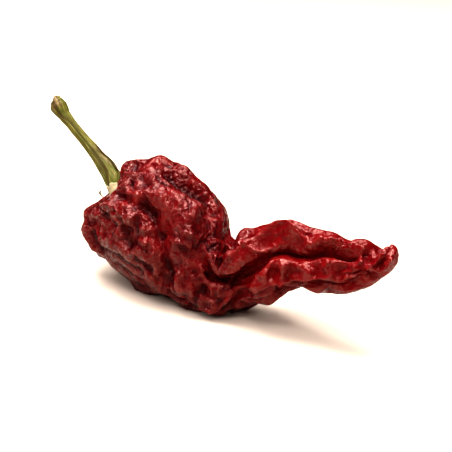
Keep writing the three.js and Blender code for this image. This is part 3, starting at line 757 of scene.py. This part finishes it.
def buildCalyx(skin, at, facing):
    rows, columns = calyx["steps"], calyx["columns"]
    turn = np.arange(columns) * 360.0 / columns
    ragged = sum(high * np.sin(np.radians(waves * turn + turned)) for waves, high, turned in calyx["ragged"])
    share = np.linspace(0, 1, rows + 1)[1:, None]
    reach = (calyx["reach"] + ragged)[None, :] * share
    column = np.round(turn / 360 * skin.shape[1]).astype(int) % skin.shape[1]
    near = softened(skin, 2)
    row = reach / at[1]
    k = row.astype(int)
    point = near[k, column] + (near[k + 1, column] - near[k, column]) * (row - k)[..., None]
    normal = outward(softened(skin, 8))[np.maximum(k, 2), column]
    out = unit(normal * share[..., None] + facing * (1 - share[..., None]))
    under = point + out * calyx["gap"]
    ribs = calyx["ribHeight"] * np.cos(np.radians(calyx["ribs"] * turn))[None, :] * ease(share * 1.4)
    over = under + out * (calyx["thickness"] * (1 - calyx["thinEdge"] * share ** 3) + ribs)[..., None]

    # its middle is raised to a flat seat
    seat = skin[0, 0]
    top = seat + facing * calyx["seatHeight"]
    lack = np.maximum(((top - over) * facing).sum(-1), 0)
    lift = ease((calyx["seatReach"] + calyx["seatSlope"] - reach) / calyx["seatSlope"]) ** 1.2
    over = over + facing * (lack * lift)[..., None]

    rings = np.concatenate([under, over[::-1]])
    edge = share + reach * 0
    marks = {
        "boss": np.concatenate([edge * 0, (lift + ribs)[::-1]]),
        "edge": np.concatenate([edge, edge[::-1]]),
    }
    return closedMesh("calyxCap", rings, seat + facing * calyx["gap"], top, marks), top


# the one tooth left on its edge, dried into a curl

tooth = {
    "around": 125.0,                    # degrees round the cap
    "from": 5.0,                        # mm from the middle
    # mm from its foot
    "path": [(0.4, 0.0, -0.2), (-0.6, -0.1, 0.9), (-1.6, -0.2, 2.2), (-2.4, -0.2, 3.2), (-2.6, -0.2, 3.9),
             (-2.1, -0.2, 4.4)],
    "radius": [(0, 0.70), (0.3, 0.38), (0.64, 0.26), (0.84, 0.46), (1, 0.22)],     # share of its length, mm
    "flatter": 0.35,                    # share of the thickness taken off
    "rows": 30,
    "columns": 12,
}


def buildTooth(skin, at):
    rows, columns = tooth["rows"], tooth["columns"]
    foot = skin[int(tooth["from"] / at[1]), int(tooth["around"] / 360 * skin.shape[1])]
    middle = smoothPath([foot + np.array(step) for step in tooth["path"]], rows)[0]
    side, front = squareTo(unit(np.gradient(middle, axis=0)))
    turn = np.linspace(0, 2 * np.pi, columns, endpoint=False)
    share = np.linspace(0, 1, rows)
    r = between(tooth["radius"], share)[:, None] * (1 - tooth["flatter"] * np.cos(turn) ** 2)
    rings = (middle[:, None] + side[:, None] * (np.cos(turn) * r)[..., None]
             + front[:, None] * (np.sin(turn) * r)[..., None])
    edge = np.repeat(share[:, None], columns, 1)
    marks = {"boss": edge * 0, "edge": edge}
    return closedMesh("calyxTooth", rings, rings[0].mean(0), rings[-1].mean(0), marks)


calyxLooks = {
    "dry": (0.232, 0.168, 0.07, 1),
    "green": (0.116, 0.116, 0.029, 1),
    "brown": (0.058, 0.029, 0.012, 1),      # edges and specks
    "pale": (0.36, 0.302, 0.186, 1),        # ribs, and where it holds the stem
    "patches": 260.0,                       # sizes, per metre
    "specks": 1400.0,
    "bumpHeight": 0.00025,                  # m
}


def calyxMaterial():
    looks = calyxLooks
    s = Shader("dryCalyx")
    where = s.place()
    patches = s.noise(where, looks["patches"], 5.0, 0.6)
    specks = s.noise(where, looks["specks"], 4.0, 0.6)
    colour = s.mix(s.ramp(patches, 0.35, 0.65), looks["dry"], looks["green"])
    colour = s.mix(s.ramp(s.mark("boss"), 0.1, 0.9, 0.0, 0.7), colour, looks["pale"])
    colour = s.mix(s.ramp(s.mark("edge"), 0.72, 1.0, 0.0, 0.85), colour, looks["brown"])
    colour = s.mix(s.ramp(specks, 0.58, 0.75, 0.0, 0.6), colour, looks["brown"])
    bump = s.bump(s.math("ADD", patches, specks), 0.7, looks["bumpHeight"])
    s.set(Base_Color=colour, Roughness=s.ramp(patches, 0.3, 0.7, 0.5, 0.75), Normal=bump)
    return s.mat


print("calyx: cap and tooth")
podFacing = unit(np.array(calyx["facing"]))
calyxPiece, seatTop = buildCalyx(skin, at, podFacing)
toothPiece = buildTooth(skin, at)
calyxMat = calyxMaterial()
for piece in (calyxPiece, toothPiece):
    finished(piece, calyxMat, "calyx")


# stem: ribbed along its length, broken off in a dry knob

stem = {
    "seatGap": 0.12,                    # mm over its seat
    "path": [(-32.3, 28.6, 33.8), (-35.6, 31.4, 37.9), (-39.7, 34.4, 42.1), (-43.8, 37.2, 46.3),
             (-47.0, 39.6, 49.8), (-49.1, 41.2, 53.6)],     # mm, on from its seat
    # share of its length, mm
    "radius": [(0, 3.1), (0.08, 2.95), (0.2, 2.5), (0.38, 1.95), (0.55, 1.68), (0.72, 1.64),
               (0.82, 1.86), (0.89, 2.2), (0.935, 2.3), (0.975, 1.95), (1, 1.45)],
    # swellings: share of its length, around degrees, half sizes (share, degrees), mm
    "swells": [(0.16, 0, 0.14, 60, 0.45), (0.93, 195, 0.045, 50, 0.5), (0.90, 30, 0.05, 40, 0.25),
               (0.03, 190, 0.12, 70, -1.0), (0.03, 350, 0.12, 50, 0.4)],
    "rows": 300,
    "columns": 110,
    # ribs: around degrees, half width degrees, share of the radius
    "ribs": [(200, 16, 0.10), (238, 14, 0.13), (272, 17, 0.10), (308, 13, 0.12), (345, 15, 0.08),
             (30, 16, 0.10), (80, 18, 0.12), (130, 15, 0.09), (165, 12, 0.08)],
    "seed": 41,
    "ribTwist": 38.0,                   # degrees they turn from foot to end
    "ribWander": 14,                    # degrees they stray
    "fineLines": 0.035,                 # shares of the radius
    "lumps": 0.05,
    "footStraight": 0.12,               # share of its length that leaves square to the seat
    # the broken end: its low side in degrees, mm lower there, splinters mm
    "breakSide": 200,
    "breakLean": 0.45,
    "breakRough": 0.22,
    "breakRings": [(0.80, 0.30), (0.58, 0.62), (0.36, 0.85), (0.18, 1.0)],    # share of the radius, mm proud
    # bark gone, showing pith: from, to (shares of the length), over this share, around and half width degrees
    "peeled": (0.17, 0.46, 0.05, 322, 24),
    "worn": (0.88, 0.08, 262),          # at the end: from, over this share, around degrees
    # dark weathered band down the front: share of the length, around degrees, half width degrees
    "band": [(0.0, 262, 12), (0.18, 268, 26), (0.34, 276, 30), (0.5, 282, 14), (0.7, 286, 10),
             (0.88, 262, 22), (1.0, 250, 40)],
}


def stemLine():                         # its middle, three directions, the share of its length, its length
    foot = seatTop + podFacing * stem["seatGap"]
    middle, length = smoothPath([foot] + stem["path"], stem["rows"])
    share = np.linspace(0, 1, stem["rows"])
    straight = ease(1 - share / stem["footStraight"])[:, None]
    along = unit(unit(np.gradient(middle, axis=0)) * (1 - straight) + podFacing * straight)
    return middle, along, *squareTo(along), share, length


def stemSwells(share, turn):
    return sum(high * np.exp(-((share - middle) / long) ** 2 - (turnBetween(around, turn) / wide) ** 2)
               for middle, around, long, wide, high in stem["swells"])


def brokenEnd(ring, end, out, onward, spot, lean):      # rings closing in on the splintered middle
    rings = []
    for inward, proud in stem["breakRings"]:
        rough = clouds(spot * (3.5, 3.5, 0.0) + proud * 9, stem["seed"] + 10)[:, None] * stem["breakRough"]
        rings.append(end + out * ring[:, None] * inward + onward * (proud + rough - lean * inward))
    return np.array(rings)


def stemWear(t, a):                     # where the pith shows: the worn end and the peeled strip
    start, over, around = stem["worn"]
    worn = ease((t - start) / over) * ease(1.4 * np.cos(np.radians(a - around)) - 0.5)
    start, end, over, around, half = stem["peeled"]
    peeled = ease((t - start) / over) * ease((end - t) / over)
    peeled = peeled * ease(1 - np.abs(turnBetween(around, a)) / half)
    return np.maximum(worn, 0.75 * peeled)


def stemBand(share, a):                 # how dark the weathered band is
    middles = [(at0, around) for at0, around, half in stem["band"]]
    halves = [(at0, half) for at0, around, half in stem["band"]]
    off = turnBetween(between(middles, share)[:, None], a)
    return np.clip(1.4 * (1 - np.abs(off) / between(halves, share)[:, None]), 0, 1)


def buildStem():                        # t and a: share of its length and degrees around, at every point
    rows, columns = stem["rows"], stem["columns"]
    middle, along, side, front, share, length = stemLine()
    turn = np.linspace(0, 360, columns, endpoint=False)
    t, a = share[:, None] + np.zeros(columns), turn[None, :] + np.zeros((rows, 1))
    c, s = np.cos(np.radians(a)), np.sin(np.radians(a))
    spot = np.stack([c, s, t], -1)
    seed = stem["seed"]
    wander = stem["ribWander"] * clouds(spot * (1.2, 1.2, 5.0), seed)
    ribs = np.zeros((rows, columns))
    for around, wide, high in stem["ribs"]:
        off = turnBetween(around + stem["ribTwist"] * t, a + wander)
        ribs = np.maximum(ribs, high * np.clip(1 - np.abs(off) / (wide * 1.5), 0, 1) ** 0.8)
    fineLines = stem["fineLines"] * (1 - np.abs(clouds(spot * (9.0, 9.0, 7.0), seed + 2)))
    r = between(stem["radius"], share)[:, None] * (0.95 + ribs * ease(t / 0.08) + fineLines)
    r = r * (1 + stem["lumps"] * clouds(spot * (1.5, 1.5, 9.0), seed + 6)) + stemSwells(t, a)
    out = c[..., None] * side[:, None] + s[..., None] * front[:, None]
    rings = middle[:, None] + out * r[..., None]

    lean = np.cos(np.radians(turn - stem["breakSide"]))[:, None] * stem["breakLean"]
    ends = brokenEnd(r[-1], middle[-1], out[-1], along[-1], spot[-1], lean)
    for back, leaning in ((1, 1.0), (2, 0.6), (3, 0.3)):
        rings[-back] -= along[-1] * lean * leaning
    rings = np.concatenate([rings, ends])
    blank = np.zeros((len(ends), columns))
    cut = np.concatenate([stemWear(t, a), blank + 1])
    cut[rows - 1] = 1
    marks = {
        "place": np.concatenate([spot, spot[-1:].repeat(len(ends), 0)]) * (1, 1, length / 3),
        "cut": cut,
        "rib": np.concatenate([ribs / max(high for around, wide, high in stem["ribs"]), blank]),
        "dark": np.concatenate([stemBand(share, a + wander * 0.6), blank]),
    }
    return closedMesh("stemBark", rings, middle[0], middle[-1] + along[-1] * 1.05, marks)


# a sliver of its bark, peeling away: held at its foot, its pointed end standing off

sliver = {
    "start": 0.13,                      # shares of the stem's length
    "end": 0.43,
    "around": 334.0,                    # degrees
    "sway": 10,                         # degrees it strays
    "wide": 1.5,                        # mm
    "thick": 0.20,
    "lift": 0.7,
    "liftFrom": 0.45,                   # share of its own length
    "curl": 0.16,
    "rows": 40,
    "columns": 14,
}


def buildBarkSliver():
    rows, columns = sliver["rows"], sliver["columns"]
    middle, along, side, front = stemLine()[:4]
    share = np.linspace(0, 1, rows)
    t = sliver["start"] + (sliver["end"] - sliver["start"]) * share
    k = (t * (stem["rows"] - 1)).astype(int)
    off = 1.17 * between(stem["radius"], t) + stemSwells(t, sliver["around"]) + 0.08
    off = off + sliver["lift"] * ease((share - sliver["liftFrom"]) / (1 - sliver["liftFrom"])) ** 1.5
    half = sliver["wide"] / 2 * np.minimum(ease(share * 6 + 0.2), (1 - share) ** 0.6 + 0.05)
    turn = np.linspace(0, 2 * np.pi, columns, endpoint=False)
    rings = []
    for i in range(rows):
        bend = np.radians(sliver["around"] + sliver["sway"] * np.sin(share[i] * 5))
        out = np.cos(bend) * side[k[i]] + np.sin(bend) * front[k[i]]
        over = np.cross(along[k[i]], out)
        curl = sliver["curl"] * np.cos(turn) ** 2
        ring = middle[k[i]] + out * (off[i] + np.sin(turn) * sliver["thick"] / 2 - curl)[:, None]
        rings.append(ring + over * (np.cos(turn) * half[i])[:, None])
    rings = np.array(rings)
    spot = np.zeros(rings.shape)
    spot[..., 0] = np.cos(turn)[None, :]
    spot[..., 2] = share[:, None] * 3
    flat = np.zeros(rings.shape[:2])
    marks = {"place": spot, "cut": flat, "rib": flat, "dark": flat + 2}
    return closedMesh("barkSliver", rings, rings[0].mean(0), rings[-1].mean(0), marks)


stemLooks = {
    "olive": (0.066, 0.056, 0.008, 1),
    "green": (0.062, 0.070, 0.007, 1),
    "straw": (0.150, 0.128, 0.030, 1),      # on the ribs
    "brown": (0.034, 0.020, 0.003, 1),      # in the grooves and down the weathered band
    "pith": (0.200, 0.135, 0.062, 1),
    "streaks": 4.0,                         # across, in radii of the stem
    "drawnOut": 0.10,                       # share of that along it
    "patches": 1.2,
    "grain": 1800.0,                        # per metre
    "bumpHeight": 0.0002,                   # m
}


def stemMaterial():
    looks = stemLooks
    s = Shader("stemBark")
    place = s.mark("place", "Vector")
    cut, rib, dark = s.mark("cut"), s.mark("rib"), s.mark("dark")
    drawnOut = s.vector("MULTIPLY", place, (1.0, 1.0, looks["drawnOut"]))
    streaks = s.noise(drawnOut, looks["streaks"], 4.0, 0.6)
    thin = s.noise(drawnOut, looks["streaks"] * 3, 4.0, 0.65)
    patches = s.noise(place, looks["patches"], 3.0, 0.5)
    grain = s.noise(s.place(), looks["grain"], 4.0, 0.6)
    colour = s.mix(s.ramp(patches, 0.40, 0.60), looks["olive"], looks["green"])
    onRibs = s.math("MULTIPLY", s.ramp(rib, 0.1, 0.8, 0.35, 1.0), s.ramp(streaks, 0.42, 0.60))
    colour = s.mix(onRibs, colour, looks["straw"])
    colour = s.mix(s.ramp(thin, 0.51, 0.62, 0.0, 0.75), colour, looks["brown"])
    pith = s.mix(s.ramp(thin, 0.44, 0.60), looks["pith"], looks["brown"])
    colour = s.mix(cut, colour, pith)
    weathered = s.math("MULTIPLY", dark, s.ramp(streaks, 0.36, 0.56, 0.35, 1.0))
    colour = s.mix(s.ramp(weathered, 0.0, 1.0, 0.0, 0.85), colour, looks["brown"])
    bump = s.bump(s.math("ADD", s.math("MULTIPLY", grain, 0.3), thin), 0.8, looks["bumpHeight"])
    s.set(Base_Color=colour, Roughness=s.ramp(streaks, 0.3, 0.7, 0.38, 0.6), Normal=bump)
    s.set(Specular_IOR_Level=0.15)
    return s.mat


print("stem: bark, ribs and the broken end")
stemPiece, sliverPiece = buildStem(), buildBarkSliver()
stemMat = stemMaterial()
for piece in (stemPiece, sliverPiece):
    finished(piece, stemMat, "stem")


# the scrap of the calyx that still holds the stem's foot, its free edge ragged

scrap = {
    "from": 196.0,                      # degrees round the stem
    "to": 312.0,
    "seed": 77,
    "height": 2.1,                      # mm up the stem
    "below": 1.6,                       # mm down to where it meets the cap
    "ragged": 0.22,                     # share of its height
    "thickness": 0.38,
    "off": 0.22,                        # mm off the bark
    "skirt": 0.4,                       # mm it spreads at its foot
    "curl": 0.25,                       # mm its free edge stands off
    "rows": 70,
    "columns": 20,
}


def buildScrap():
    middle, along, side, front, stemShare, length = stemLine()
    rows, columns = scrap["rows"], scrap["columns"]
    turn = np.linspace(scrap["from"], scrap["to"], rows)
    share = np.linspace(0, 1, rows)
    ragged = scrap["ragged"] * clouds(np.stack([share * 9, share * 0, share * 0], -1), scrap["seed"])
    high = scrap["height"] * (0.25 + 0.75 * np.sin(np.pi * share ** 0.8) ** 0.7 + ragged)
    around = np.linspace(0, 2 * np.pi, columns, endpoint=False)
    up = (1 - np.cos(around)) / 2       # 0 at the lower edge, 1 at the free edge
    rings = []
    for i in range(rows):
        lifts = -scrap["below"] + (high[i] + scrap["below"]) * up
        k = np.clip((lifts / length * (len(middle) - 1)).astype(int), 0, len(middle) - 1)
        out = np.cos(np.radians(turn[i])) * side[k] + np.sin(np.radians(turn[i])) * front[k]
        reach = between(stem["radius"], stemShare[k]) * 1.04
        reach = reach + stemSwells(stemShare[k], turn[i]) + scrap["off"]
        reach = reach + scrap["skirt"] * ease((0.6 - lifts) / 2.0)
        reach = reach + scrap["thickness"] * np.sin(around) * (0.5 - 0.25 * up)
        reach = reach + scrap["curl"] * ease((up - 0.7) / 0.3)
        centre = middle[k] + along[0] * np.minimum(lifts, 0)[:, None]
        rings.append(centre + out * reach[:, None])
    rings = np.array(rings)
    edge = np.repeat(up[None], rows, 0) * 0.7
    marks = {"boss": edge * 0 + 1, "edge": edge}
    return closedMesh("calyxScrap", rings, rings[0].mean(0), rings[-1].mean(0), marks)


print("calyx: the scrap on the stem's foot")
finished(buildScrap(), calyxMat, "calyx")


# floor, light and camera

studio = {
    "floor": (0.48, 0.40, 0.338, 1),
    "floorSize": 6.0,                   # m
    "sky": (1.0, 0.75, 0.60, 1),
    "skyStrength": 0.10,
    # name, place mm, aims at mm, width and height mm, watts
    "lamps": [
        ("ceiling", (-150, 100, 850), (0, 40, 0), 2600, 2600, 28.0),
        ("softBox", (-240, 200, 720), (0, 40, 0), 700, 700, 10.5),
        ("windowLeft", (-210, 60, 640), (0, 0, 20), 150, 150, 2.6),
        ("windowRight", (170, -50, 650), (0, 0, 20), 150, 150, 2.2),
        ("frontLeft", (-220, -420, 300), (0, 0, 20), 80, 80, 0.5),
        ("frontRight", (200, -430, 280), (0, 0, 20), 80, 80, 0.5),
        ("frontHigh", (-60, -330, 480), (0, 0, 20), 110, 110, 1.4),
    ],
    "noGlint": ["ceiling"],             # it fills, the smaller ones glint
    "cameraTurn": 18.0,                 # degrees down
    "cameraFar": 376.7,                 # mm
    "cameraAim": (5.01, 7.22, 22.25),
    "lens": 100.0,
}


def stand(name, data, place, target):   # in the scene, pointing at the target
    obj = bpy.data.objects.new(name, data)
    obj.location = place
    obj.rotation_euler = (target - obj.location).to_track_quat("-Z", "Y").to_euler()
    bpy.context.scene.collection.objects.link(obj)
    return obj


def makeFloor():
    mesh = bpy.data.meshes.new("floor")
    r = studio["floorSize"] / 2
    mesh.from_pydata([(-r, -r, 0), (r, -r, 0), (r, r, 0), (-r, r, 0)], [], [(0, 1, 2, 3)])
    floor = bpy.data.objects.new("floor", mesh)
    bpy.context.scene.collection.objects.link(floor)
    s = Shader("paleFloor")
    s.set(Base_Color=studio["floor"], Roughness=0.8, Specular_IOR_Level=0.1)
    mesh.materials.append(s.mat)


def makeLight():
    world = bpy.data.worlds.new("softWhite")
    world.use_nodes = True
    back = world.node_tree.nodes["Background"]
    back.inputs[0].default_value = studio["sky"]
    back.inputs[1].default_value = studio["skyStrength"]
    bpy.context.scene.world = world
    for name, place, target, wide, high, watts in studio["lamps"]:
        lamp = bpy.data.lights.new(name, "AREA")
        lamp.shape = "RECTANGLE"
        lamp.size = wide * mm
        lamp.size_y = high * mm
        lamp.energy = watts
        obj = stand(name, lamp, Vector(place) * mm, Vector(target) * mm)
        obj.visible_glossy = name not in studio["noGlint"]


def makeCamera():
    cam = bpy.data.cameras.new("camera")
    cam.lens = studio["lens"]
    cam.sensor_width = 36.0
    cam.clip_start = 0.01
    cam.clip_end = 20.0
    turn = np.radians(studio["cameraTurn"])
    aim = Vector(studio["cameraAim"]) * mm
    away = Vector((0, -np.cos(turn), np.sin(turn))) * studio["cameraFar"] * mm
    bpy.context.scene.camera = stand("camera", cam, aim + away, aim)
    bpy.context.scene.view_settings.view_transform = "Standard"
    bpy.context.scene.view_settings.look = "High Contrast"


print("studio: floor, light and camera")
makeFloor()
makeLight()
makeCamera()
